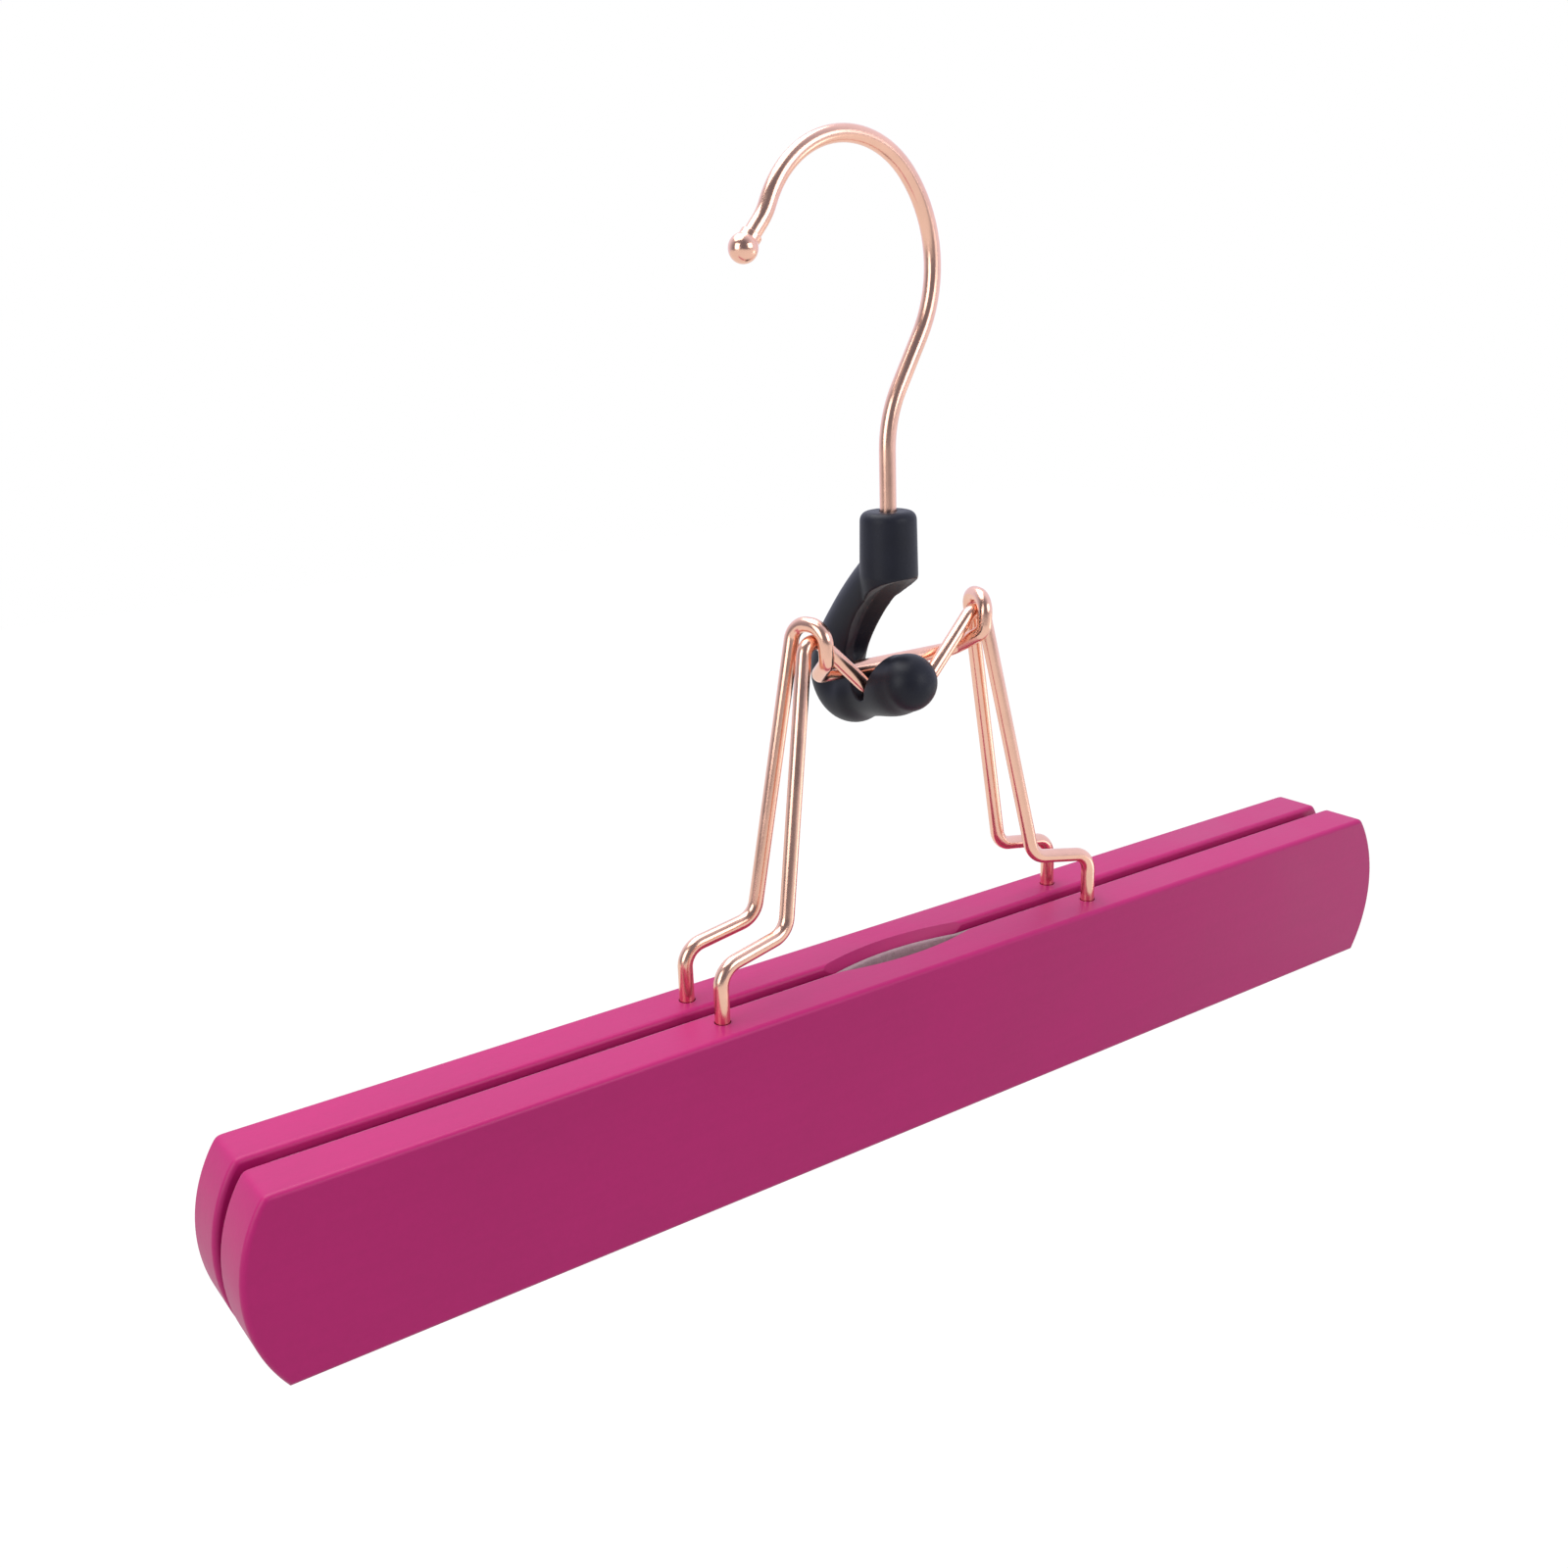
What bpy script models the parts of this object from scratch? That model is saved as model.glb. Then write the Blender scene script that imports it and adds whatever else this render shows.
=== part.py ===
"""Wooden clamp hanger: two felt-lined bars on crossed wire bails, held shut by a latch under the hook.

Units are metres and +Z is up. The origin is the point inside the hook that bears on the rail.
The bars run along X and the jaws open along Y: the front bar is on the -Y side.
"""

import math

import bmesh
import bpy
from mathutils import Matrix, Vector
from mathutils.geometry import interpolate_bezier

# Clearances
TOUCH_GAP = 0.0003
SWIVEL_GAP = 0.0003

# Hook wire, bent in the XZ plane
HOOK_WIRE = 0.0035
HOOK_ARC_RADIUS = 0.0200
HOOK_SIDE_RADIUS = 0.0276
HOOK_SIDE_START = 40.0
HOOK_LEAN = 29.3
HOOK_ARC_END = 158.0
TIP_BEND_RADIUS = 0.012
TIP_BEND_ANGLE = 18.0
TIP_STRAIGHT = 0.0058
STEM_OFFSET = 0.00945
STEM_BEND_RADIUS = 0.026
TIP_BALL = 0.0058
TIP_BALL_BORE = 0.0030

# Stem end inside the latch
LATCH_DROP = 0.0713
LATCH_ROOF = 0.0088
WASHER_THICKNESS = 0.0008
WASHER_DIAMETER = 0.0082
HEAD_DIAMETER = 0.0064
HEAD_HEIGHT = 0.0020
HEAD_STEP = 0.00005

# Plastic latch
BARREL_DIAMETER = 0.0124
BARREL_TOP_DIAMETER = 0.0119
BARREL_LENGTH = 0.0137
BARREL_EDGE = 0.0018
BARREL_ROOT = 0.0060
ARM_DIAMETER = 0.0108
ARM_ROOT_DROP = 0.0120
ARM_BACK = 0.0186
ARM_SWELL = (0.0060, -0.0045)
ARM_PULL = 0.0075
HEEL_DIAMETER = 0.0123
HEEL_BEND = 0.0052
NOSE_RISE = 18.5
NECK_DIAMETER = 0.0111
NECK_SHARE = 0.25
BALL_DIAMETER = 0.0132
BALL_SHARE = 0.78
NOSE_DIAMETER = 0.0125
NOSE_REACH = 0.0060
NOSE_DROP = 0.0358
MOUTH_HEIGHT = 0.0100
THROAT_LIP = (0.0077, -0.0022)
THROAT_PULL = (-0.00265, 0.0060)
THROAT_BACK = 0.0024
THROAT_FALL = 0.0042
COVE_WIDTH = 0.0096
COVE_DEPTH = 0.0009

# Where the latch sits on the bails
LATCH_SIDE_SHIFT = 0.0055
LATCH_FRONT_SHIFT = 0.0045
HINGE_DROP = 0.0276

# Wire bails, measured from the line of the corner eyes
BAIL_WIRE = 0.0033
FRONT_BAR_Y = -0.0009
FRONT_BAR_DROP = 0.0110
FRONT_BAR_HALF = 0.0085
FRONT_CORNER_X = 0.0243
FRONT_CORNER_RISE = 0.0048
REAR_BAR_Y = 0.0034
REAR_BAR_DROP = 0.0070
REAR_BAR_HALF = 0.0190
EYE_X = 0.0224
EYE_PITCH = 0.0020
EYE_HALF_DEPTH = 0.0040
EYE_RISE = 0.0054
EYE_DROP = 0.0023
EYE_BEND = 0.0038
SMALL_BEND = 0.0030
KNEE_BEND = 0.0050
KNEE_X = 0.0361
KNEE_Y = 0.0060
FOOT_X = 0.0537
FOOT_Y = 0.0070
FOOT_RISE = 0.0118
FOOT_SLOPE = 0.0033
FOOT_DEPTH = 0.0160
BAIL_HEIGHT = 0.0738

# Bars
BAR_LENGTH = 0.3068
BAR_HEIGHT = 0.0391
BAR_THICKNESS = 0.0122
BAR_END_BULGE = 0.0063
BAR_EDGE = 0.0010
BAR_CORNER = 0.0022
JAW_GAP = 0.0036

# Thumb scoop in the inner top edges
SCOOP_HALF_LENGTH = 0.0220
SCOOP_DEPTH = 0.0036
SCOOP_HEIGHT = 0.0080
SCOOP_OVERRUN = 1.1

# Felt strips
FELT_END_INSET = 0.0060
FELT_TOP_INSET = 0.0022
FELT_BOTTOM_INSET = 0.0022
FELT_SLACK = 0.00025

# Travel of the latch and of the jaws
LATCH_TRAVEL = 0.0060
JAW_ANGLE = 12.0

# Mesh fineness
WIRE_RESOLUTION = 3
ARC_STEP = 15.0
BOW_STEP = 8.0
CURVE_POINTS = 10
CORNER_POINTS = 5
ROUND_SIDES = 32
ROD_SIDES = 28
COVE_SIDES = 16
NOSE_STEPS = 12
END_STEPS = 5
BALL_SIDES = 24
BALL_RINGS = 14
SCOOP_STEPS = 18
SCOOP_ROWS = 5
SHARP_ANGLE = 35.0

# Finishes: colour, roughness and metallic value
WIRE_FINISH = ((0.86, 0.52, 0.40), 0.12, 1.0)
LATCH_FINISH = ((0.018, 0.021, 0.030), 0.45, 0.0)
BAR_FINISH = ((0.42, 0.026, 0.15), 0.45, 0.0)
FELT_FINISH = ((0.38, 0.31, 0.28), 0.95, 0.0)
STEEL_FINISH = ((0.55, 0.55, 0.57), 0.35, 1.0)

# Levels below the rail seat
BARREL_TOP = -LATCH_DROP
STEM_X = STEM_OFFSET
BAIL_X = STEM_X + LATCH_SIDE_SHIFT
BAIL_Y = LATCH_FRONT_SHIFT
BAR_TOP = -BAIL_HEIGHT
BAR_BOTTOM = BAR_TOP - BAR_HEIGHT


def clear_scene():
    for item in list(bpy.data.objects):
        bpy.data.objects.remove(item, do_unlink=True)


def material(name, values):
    colour, roughness, metallic = values
    made = bpy.data.materials.new(name)
    made.use_nodes = True
    shader = made.node_tree.nodes["Principled BSDF"]
    shader.inputs["Base Color"].default_value = (*colour, 1.0)
    shader.inputs["Roughness"].default_value = roughness
    shader.inputs["Metallic"].default_value = metallic
    return made


def place(obj, parent=None):
    bpy.context.scene.collection.objects.link(obj)
    if parent is not None:
        obj.parent = parent
    return obj


def frame_empty(name, location, parent=None):
    empty = bpy.data.objects.new(name, None)
    empty.location = location
    empty.empty_display_size = 0.01
    return place(empty, parent)


def mesh_object(name, build, parent=None, finish=None):
    """Make an object from a function that fills a bmesh."""
    shape = bmesh.new()
    build(shape)
    bmesh.ops.recalc_face_normals(shape, faces=shape.faces)
    mesh = bpy.data.meshes.new(name)
    shape.to_mesh(mesh)
    shape.free()
    mesh.shade_smooth()
    mesh.set_sharp_from_angle(angle=math.radians(SHARP_ANGLE))
    obj = bpy.data.objects.new(name, mesh)
    if finish is not None:
        mesh.materials.append(finish)
    return place(obj, parent)


def as_guide(obj):
    obj.hide_render = True
    obj.display_type = "WIRE"
    return obj


def combine(obj, other, operation):
    """Join or cut with a hidden guide shape."""
    step = obj.modifiers.new(operation.title(), "BOOLEAN")
    step.operation = operation
    step.solver = "EXACT"
    step.object = as_guide(other)


def turn(angle, radius, centre):
    """Point at an angle in degrees on a circle in a plane of two coordinates."""
    a = math.radians(angle)
    return (centre[0] + radius * math.cos(a), centre[1] + radius * math.sin(a))


def arc(centre, radius, start, end, step=ARC_STEP):
    count = max(2, math.ceil(abs(end - start) / step))
    return [turn(start + (end - start) * i / count, radius, centre) for i in range(count + 1)]


def bent_path(corners):
    """Centreline through corner points, each (point, bend radius), with round bends."""
    points = [Vector(corners[0][0])]
    for (before, _), (corner, radius), (after, _) in zip(corners, corners[1:], corners[2:]):
        corner = Vector(corner)
        inward = (Vector(before) - corner).normalized()
        outward = (Vector(after) - corner).normalized()
        angle = inward.angle(outward)
        middle = (inward + outward).normalized()
        centre = corner + middle * (radius / math.sin(angle / 2))
        start = corner + inward * (radius / math.tan(angle / 2)) - centre
        sweep = math.pi - angle
        axis = start.cross(corner - centre).normalized()
        count = max(2, math.ceil(math.degrees(sweep) / ARC_STEP))
        for i in range(count + 1):
            points.append(centre + Matrix.Rotation(sweep * i / count, 3, axis) @ start)
    points.append(Vector(corners[-1][0]))
    return points


def wire(name, stations, diameter, finish, parent):
    """Round wire along stations, each (point, share of the full radius)."""
    curve = bpy.data.curves.new(name, "CURVE")
    curve.dimensions = "3D"
    curve.bevel_depth = diameter / 2
    curve.bevel_resolution = WIRE_RESOLUTION
    curve.use_fill_caps = True
    spline = curve.splines.new("POLY")
    spline.points.add(len(stations) - 1)
    for point, (position, share) in zip(spline.points, stations):
        point.co = (*position, 1.0)
        point.radius = share
    spline.use_smooth = True
    curve.materials.append(finish)
    return place(bpy.data.objects.new(name, curve), parent)


def prism(shape, outline, low, high, to_point):
    """Closed prism over an outline, from low to high along the third direction."""
    first = [shape.verts.new(to_point(a, b, low)) for a, b in outline]
    last = [shape.verts.new(to_point(a, b, high)) for a, b in outline]
    shape.faces.new(first)
    shape.faces.new(list(reversed(last)))
    for i in range(len(outline)):
        j = (i + 1) % len(outline)
        shape.faces.new((first[i], last[i], last[j], first[j]))


def cylinder(shape, radius, low, high, x=0.0, y=0.0, top_radius=None):
    bmesh.ops.create_cone(
        shape,
        cap_ends=True,
        segments=ROUND_SIDES,
        radius1=radius,
        radius2=top_radius or radius,
        depth=high - low,
        matrix=Matrix.Translation((x, y, (low + high) / 2)),
    )


def ball(shape, diameter, matrix):
    bmesh.ops.create_uvsphere(
        shape, u_segments=BALL_SIDES, v_segments=BALL_RINGS, radius=diameter / 2, matrix=matrix
    )


def rod(shape, stations, sides, width=1.0):
    """Closed rod in the YZ plane along stations, each (y, z, radius), widened along X."""
    rings = []
    for i, (y, z, radius) in enumerate(stations):
        before = stations[max(i - 1, 0)]
        after = stations[min(i + 1, len(stations) - 1)]
        heading = math.atan2(after[1] - before[1], after[0] - before[0])
        ring = []
        for k in range(sides):
            across, side = turn(360.0 * k / sides, radius, (0.0, 0.0))
            place_y = y - across * math.sin(heading)
            place_z = z + across * math.cos(heading)
            ring.append(shape.verts.new((width * side, place_y, place_z)))
        rings.append(ring)
    for first, last in zip(rings, rings[1:]):
        for k in range(sides):
            j = (k + 1) % sides
            shape.faces.new((first[k], first[j], last[j], last[k]))
    shape.faces.new(list(reversed(rings[0])))
    shape.faces.new(rings[-1])


def eased(first, last, share):
    """Value that passes smoothly from one to another as the share grows from 0 to 1."""
    share = min(1.0, max(0.0, share))
    return first + (last - first) * share * share * (3 - 2 * share)


def hook_path():
    """Centreline from the stem's lower end to the tip, as (x, z) points."""
    arc_centre = (0.0, HOOK_WIRE / 2 - HOOK_ARC_RADIUS)
    side_centre = turn(HOOK_SIDE_START, HOOK_ARC_RADIUS - HOOK_SIDE_RADIUS, arc_centre)
    side = arc(side_centre, HOOK_SIDE_RADIUS, -HOOK_LEAN, HOOK_SIDE_START)
    top = arc(arc_centre, HOOK_ARC_RADIUS, HOOK_SIDE_START, HOOK_ARC_END)
    lean = math.tan(math.radians(HOOK_LEAN))
    bend_z = side[0][1] - (side[0][0] - STEM_X) / lean
    tip_centre = turn(HOOK_ARC_END, HOOK_ARC_RADIUS + TIP_BEND_RADIUS, arc_centre)
    tip_start = HOOK_ARC_END + 180.0
    tip = arc(tip_centre, TIP_BEND_RADIUS, tip_start, tip_start - TIP_BEND_ANGLE)
    heading = HOOK_ARC_END + 90.0 - TIP_BEND_ANGLE
    end = turn(heading, TIP_STRAIGHT, tip[-1])
    stem = bent_path([
        ((STEM_X, 0, head_bottom()), 0),
        ((STEM_X, 0, bend_z), STEM_BEND_RADIUS),
        ((side[0][0], 0, side[0][1]), 0),
    ])
    return [(p.x, p.z) for p in stem[:-1]] + side + top[1:] + tip[1:] + [end]


def roof_z():
    return BARREL_TOP - LATCH_ROOF


def head_top():
    return roof_z() - 2 * TOUCH_GAP - WASHER_THICKNESS


def head_bottom():
    return head_top() - HEAD_HEIGHT


def hook_wire(finish, parent):
    head_share = HEAD_DIAMETER / HOOK_WIRE
    path = [Vector((x, 0, z)) for x, z in hook_path()]
    head = path[0] + Vector((0, 0, HEAD_HEIGHT))
    neck = head + Vector((0, 0, HEAD_STEP))
    stations = [(path[0], head_share), (head, head_share), (neck, 1.0)]
    stations += [(p, 1.0) for p in path[1:]]
    return wire("hook_wire", stations, HOOK_WIRE, finish, parent)


def tip_ball(finish, parent):
    """Ball pressed on the wire's end, with a blind bore."""
    path = hook_path()
    end = Vector((path[-1][0], 0, path[-1][1]))
    before = Vector((path[-2][0], 0, path[-2][1]))
    along = (end - before).normalized()
    centre = end + along * (TIP_BALL_BORE - TIP_BALL / 2 + TOUCH_GAP)
    tilt = Vector((0, 0, 1)).rotation_difference(-along).to_matrix().to_4x4()

    def ball_shape(shape):
        ball(shape, TIP_BALL, Matrix.Translation(centre) @ tilt)

    def bore_shape(shape):
        cylinder(shape, HOOK_WIRE / 2 + TOUCH_GAP, 0.0, 2 * TIP_BALL)
        floor = end + along * TOUCH_GAP
        bmesh.ops.transform(shape, matrix=Matrix.Translation(floor) @ tilt, verts=shape.verts)

    tip = mesh_object("hook_tip_ball", ball_shape, parent, finish)
    combine(tip, mesh_object("tip_bore_guide", bore_shape, parent), "DIFFERENCE")
    return tip


def stem_washer(finish, parent):
    def ring(shape):
        cylinder(shape, WASHER_DIAMETER / 2, head_top() + TOUCH_GAP, roof_z() - TOUCH_GAP, STEM_X)

    def hole(shape):
        cylinder(shape, HOOK_WIRE / 2 + SWIVEL_GAP, head_bottom(), BARREL_TOP, STEM_X)

    washer = mesh_object("stem_washer", ring, parent, finish)
    combine(washer, mesh_object("washer_hole_guide", hole, parent), "DIFFERENCE")
    return washer


def curve_points(start, handle_a, handle_b, end, count=CURVE_POINTS):
    points = interpolate_bezier(
        Vector((*start, 0)), Vector((*handle_a, 0)), Vector((*handle_b, 0)), Vector((*end, 0)), count
    )
    return [(p.x, p.y) for p in points]


def seats():
    """Centres of the two crossbars in the latch's own frame, as (y, z)."""
    front = (LATCH_FRONT_SHIFT + FRONT_BAR_Y, -HINGE_DROP - FRONT_BAR_DROP)
    rear = (LATCH_FRONT_SHIFT + REAR_BAR_Y, -HINGE_DROP - REAR_BAR_DROP)
    return front, rear


def inner_face():
    """Inner face of the arm, from the barrel's front edge to the rest of the rear crossbar."""
    front, rear = seats()
    ramp = math.degrees(math.atan2(rear[1] - front[1], rear[0] - front[0]))
    edge = (-BARREL_DIAMETER / 2, -BARREL_LENGTH)
    top = (rear[0] + BAIL_WIRE / 2 + TOUCH_GAP, rear[1] + LATCH_TRAVEL)
    lip = (edge[0] + THROAT_LIP[0], edge[1] + THROAT_LIP[1])
    pull = (top[0] + THROAT_PULL[0], top[1] + THROAT_PULL[1])
    back = (top[0] + THROAT_BACK, top[1] - THROAT_FALL)
    rest = turn(ramp - 90, BAIL_WIRE / 2 + TOUCH_GAP, rear)
    return curve_points(edge, lip, pull, top) + curve_points(top, back, back, rest)[1:]


def throat_outline():
    """Open space of the latch: under the barrel, down the arm, round both crossbars and up the ball."""
    front, rear = seats()
    seat = BAIL_WIRE / 2 + TOUCH_GAP
    ramp = math.degrees(math.atan2(rear[1] - front[1], rear[0] - front[0]))
    swing = FRONT_BAR_DROP * math.sin(math.radians(JAW_ANGLE))
    rise = FRONT_BAR_DROP * (1 - math.cos(math.radians(JAW_ANGLE)))
    wall = math.degrees(math.atan2(LATCH_TRAVEL + rise, -swing))
    front_seat = arc(front, seat, ramp - 90, wall - 270)
    mouth_z = -BARREL_LENGTH - MOUTH_HEIGHT
    mouth_run = (mouth_z - front_seat[-1][1]) / math.sin(math.radians(wall))
    mouth = turn(wall, mouth_run, front_seat[-1])
    ahead = -2 * BARREL_DIAMETER
    inner = inner_face()
    return inner + front_seat + [mouth, (ahead, mouth[1]), (ahead, inner[0][1])]


def latch_stations():
    """J-shaped rod of the latch, from inside the barrel to the ball's end, as (y, z, radius)."""
    rise = math.radians(NOSE_RISE)
    nose = (-NOSE_REACH, -NOSE_DROP)
    corner_z = nose[1] - (ARM_BACK - nose[0]) * math.tan(rise)
    back = (ARM_BACK, corner_z + HEEL_BEND * math.tan(math.pi / 4 + rise / 2))
    root = (0.0, -ARM_ROOT_DROP)
    swell = (ARM_SWELL[0], root[1] + ARM_SWELL[1])
    arm = curve_points(root, swell, (ARM_BACK, back[1] + ARM_PULL), back)
    stations = []
    for i, (y, z) in enumerate(arm):
        share = 2 * i / (len(arm) - 1) - 1
        stations.append((y, z, eased(ARM_DIAMETER, HEEL_DIAMETER, share) / 2))
    heel = arc((ARM_BACK - HEEL_BEND, back[1]), HEEL_BEND, 0, -90 - NOSE_RISE)
    stations += [(y, z, HEEL_DIAMETER / 2) for y, z in heel[1:]]
    start = heel[-1]
    for i in range(1, NOSE_STEPS + 1):
        share = i / NOSE_STEPS
        width = eased(HEEL_DIAMETER, NECK_DIAMETER, share / NECK_SHARE)
        width = eased(width, BALL_DIAMETER, (share - NECK_SHARE) / (BALL_SHARE - NECK_SHARE))
        width = eased(width, NOSE_DIAMETER, (share - BALL_SHARE) / (1 - BALL_SHARE))
        y = start[0] + (nose[0] - start[0]) * share
        z = start[1] + (nose[1] - start[1]) * share
        stations.append((y, z, width / 2))
    for i in range(1, END_STEPS + 1):
        ahead, radius = turn(90 - 90 * i / (END_STEPS + 1), NOSE_DIAMETER / 2, (0.0, 0.0))
        y, z = turn(180 - NOSE_RISE, ahead, nose)
        stations.append((y, z, radius))
    return stations


def latch(finish, parent):
    def arm_shape(shape):
        rod(shape, latch_stations(), ROD_SIDES)

    def barrel_shape(shape):
        low = -BARREL_LENGTH - BARREL_ROOT
        cylinder(shape, BARREL_DIAMETER / 2, low, 0.0, top_radius=BARREL_TOP_DIAMETER / 2)
        rim = [e for e in shape.edges if all(v.co.z > -BARREL_EDGE for v in e.verts)]
        bmesh.ops.bevel(shape, geom=rim, offset=BARREL_EDGE, segments=3, profile=0.5, affect="EDGES")

    def throat_shape(shape):
        width = BARREL_DIAMETER
        prism(shape, throat_outline(), -width, width, lambda a, b, c: (c, a, b))

    def cove_shape(shape):
        line = inner_face()
        turns = [math.sin(math.pi * i / (len(line) - 1)) for i in range(len(line))]
        stations = [(y, z, COVE_DEPTH * math.sqrt(t)) for (y, z), t in zip(line, turns)][1:-1]
        rod(shape, stations, COVE_SIDES, COVE_WIDTH / 2 / COVE_DEPTH)

    def bore_shape(shape):
        cylinder(shape, HOOK_WIRE / 2 + SWIVEL_GAP, -LATCH_ROOF - TOUCH_GAP, LATCH_ROOF)

    def cup_shape(shape):
        floor = head_bottom() - BARREL_TOP - TOUCH_GAP
        cylinder(shape, WASHER_DIAMETER / 2 + SWIVEL_GAP, floor, -LATCH_ROOF)

    body = mesh_object("latch", arm_shape, parent, finish)
    combine(body, mesh_object("barrel_guide", barrel_shape, parent), "UNION")
    combine(body, mesh_object("throat_guide", throat_shape, parent), "DIFFERENCE")
    combine(body, mesh_object("cove_guide", cove_shape, parent), "DIFFERENCE")
    combine(body, mesh_object("bore_guide", bore_shape, parent), "DIFFERENCE")
    combine(body, mesh_object("cup_guide", cup_shape, parent), "DIFFERENCE")
    return body


def leg_corners(side, knee_y, foot_y):
    """Knee, foot bend and foot end shared by both bails, on the +X side."""
    foot_top = BAR_TOP + FOOT_RISE
    return [
        ((KNEE_X, side * knee_y, foot_top + FOOT_SLOPE), KNEE_BEND),
        ((FOOT_X, side * foot_y, foot_top), KNEE_BEND),
        ((FOOT_X, side * foot_y, BAR_TOP - FOOT_DEPTH), 0),
    ]


def mirrored(corners):
    """Whole bail from its +X half, which starts at the middle of the crossbar."""
    left = [((-p[0], p[1], p[2]), r) for p, r in reversed(corners)]
    return left + corners


def front_bail_path():
    half = [
        ((FRONT_BAR_HALF, FRONT_BAR_Y, -FRONT_BAR_DROP), SMALL_BEND),
        ((FRONT_CORNER_X, 0.0, FRONT_CORNER_RISE), SMALL_BEND),
    ]
    return bent_path(mirrored(half + leg_corners(-1, KNEE_Y, FOOT_Y)))


def rear_bail_path():
    outer_x = EYE_X + EYE_PITCH
    half = [
        ((REAR_BAR_HALF, REAR_BAR_Y, -REAR_BAR_DROP), SMALL_BEND),
        ((EYE_X - EYE_PITCH / 4, -EYE_HALF_DEPTH, -EYE_DROP), SMALL_BEND),
        ((EYE_X, -EYE_HALF_DEPTH, EYE_RISE), EYE_BEND),
        ((outer_x, EYE_HALF_DEPTH, EYE_RISE), EYE_BEND),
    ]
    return bent_path(mirrored(half + leg_corners(1, KNEE_Y, FOOT_Y)))


def bar_outline():
    """Front view of a bar: level top and bottom, bowed ends and rounded top corners, as (x, z)."""
    half = BAR_LENGTH / 2
    middle = (BAR_TOP + BAR_BOTTOM) / 2
    radius = (BAR_HEIGHT ** 2 / 4 + BAR_END_BULGE ** 2) / (2 * BAR_END_BULGE)
    spread = math.degrees(math.asin(BAR_HEIGHT / 2 / radius))
    trim = math.degrees(BAR_CORNER / radius)
    bow = arc((half + BAR_END_BULGE - radius, middle), radius, -spread, spread - trim, BOW_STEP)
    corner = (half, BAR_TOP)
    right = bow + curve_points(bow[-1], corner, corner, (half - BAR_CORNER, BAR_TOP), CORNER_POINTS)[1:]
    left = [(-x, z) for x, z in reversed(right)]
    return right + left


def recess(x, z):
    """Depth of the thumb scoop below a bar's inner face; negative outside the scoop."""
    return SCOOP_DEPTH * (1 - (x / SCOOP_HALF_LENGTH) ** 2 - (BAR_TOP - z) / SCOOP_HEIGHT)


def scoop_stations(reach):
    count = SCOOP_STEPS
    return [SCOOP_HALF_LENGTH * reach * (2 * i / count - 1) for i in range(count + 1)]


def slab(shape, stations, levels, side, near, far):
    """Closed slab over a grid of x and z, between two depths that are functions of x and z."""
    sheets = []
    for depth in (near, far):
        sheets.append([[shape.verts.new((x, side * depth(x, z), z)) for z in levels] for x in stations])
    first, last = sheets
    columns = len(stations) - 1
    rows = len(levels) - 1
    for i in range(columns):
        for j in range(rows):
            for sheet in sheets:
                corners = (sheet[i][j], sheet[i + 1][j], sheet[i + 1][j + 1], sheet[i][j + 1])
                shape.faces.new(corners if sheet is first else tuple(reversed(corners)))
    for i in range(columns):
        for j in (0, rows):
            shape.faces.new((first[i][j], first[i + 1][j], last[i + 1][j], last[i][j]))
    for j in range(rows):
        for i in (0, columns):
            shape.faces.new((first[i][j], first[i][j + 1], last[i][j + 1], last[i][j]))


def bar(name, side, finish, parent):
    inner = side * JAW_GAP / 2
    outer = side * (JAW_GAP / 2 + BAR_THICKNESS)

    def plank(shape):
        prism(shape, bar_outline(), inner, outer, lambda a, b, c: (a, c, b))
        rims = [e for e in shape.edges if abs(e.verts[0].co.y - e.verts[1].co.y) < TOUCH_GAP]
        bmesh.ops.bevel(shape, geom=rims, offset=BAR_EDGE, segments=2, profile=0.5, affect="EDGES")

    def holes(shape):
        for x in (-FOOT_X, FOOT_X):
            floor = BAR_TOP - FOOT_DEPTH - TOUCH_GAP
            cylinder(shape, BAIL_WIRE / 2 + TOUCH_GAP, floor, BAR_TOP + BAR_EDGE, x, side * FOOT_Y)

    def scoop(shape):
        top = BAR_TOP + BAR_EDGE
        levels = [top - (SCOOP_HEIGHT + 2 * BAR_EDGE) * j / SCOOP_ROWS for j in range(SCOOP_ROWS + 1)]

        def surface(x, z):
            return max(TOUCH_GAP, JAW_GAP / 2 + recess(x, z))

        slab(shape, scoop_stations(SCOOP_OVERRUN), levels, side, lambda x, z: -JAW_GAP, surface)

    wood = mesh_object(name, plank, parent, finish)
    combine(wood, mesh_object(name + "_holes_guide", holes, parent), "DIFFERENCE")
    combine(wood, mesh_object(name + "_scoop_guide", scoop, parent), "DIFFERENCE")
    return wood


def felt(name, side, finish, parent):
    """Felt strip on a bar's inner face, laid into the scoop."""
    half = BAR_LENGTH / 2 - FELT_END_INSET
    high = BAR_TOP - FELT_TOP_INSET
    step = (SCOOP_HEIGHT - FELT_TOP_INSET) / SCOOP_ROWS
    levels = [BAR_BOTTOM + FELT_BOTTOM_INSET] + [high - step * j for j in range(SCOOP_ROWS, -1, -1)]

    def bend(x, z):
        return max(0.0, recess(x, z) - FELT_SLACK)

    def strip(shape):
        slab(
            shape,
            [-half] + scoop_stations(1.0) + [half],
            levels,
            side,
            lambda x, z: TOUCH_GAP / 2 + bend(x, z),
            lambda x, z: JAW_GAP / 2 - TOUCH_GAP + bend(x, z),
        )

    return mesh_object(name, strip, parent, finish)


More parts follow.
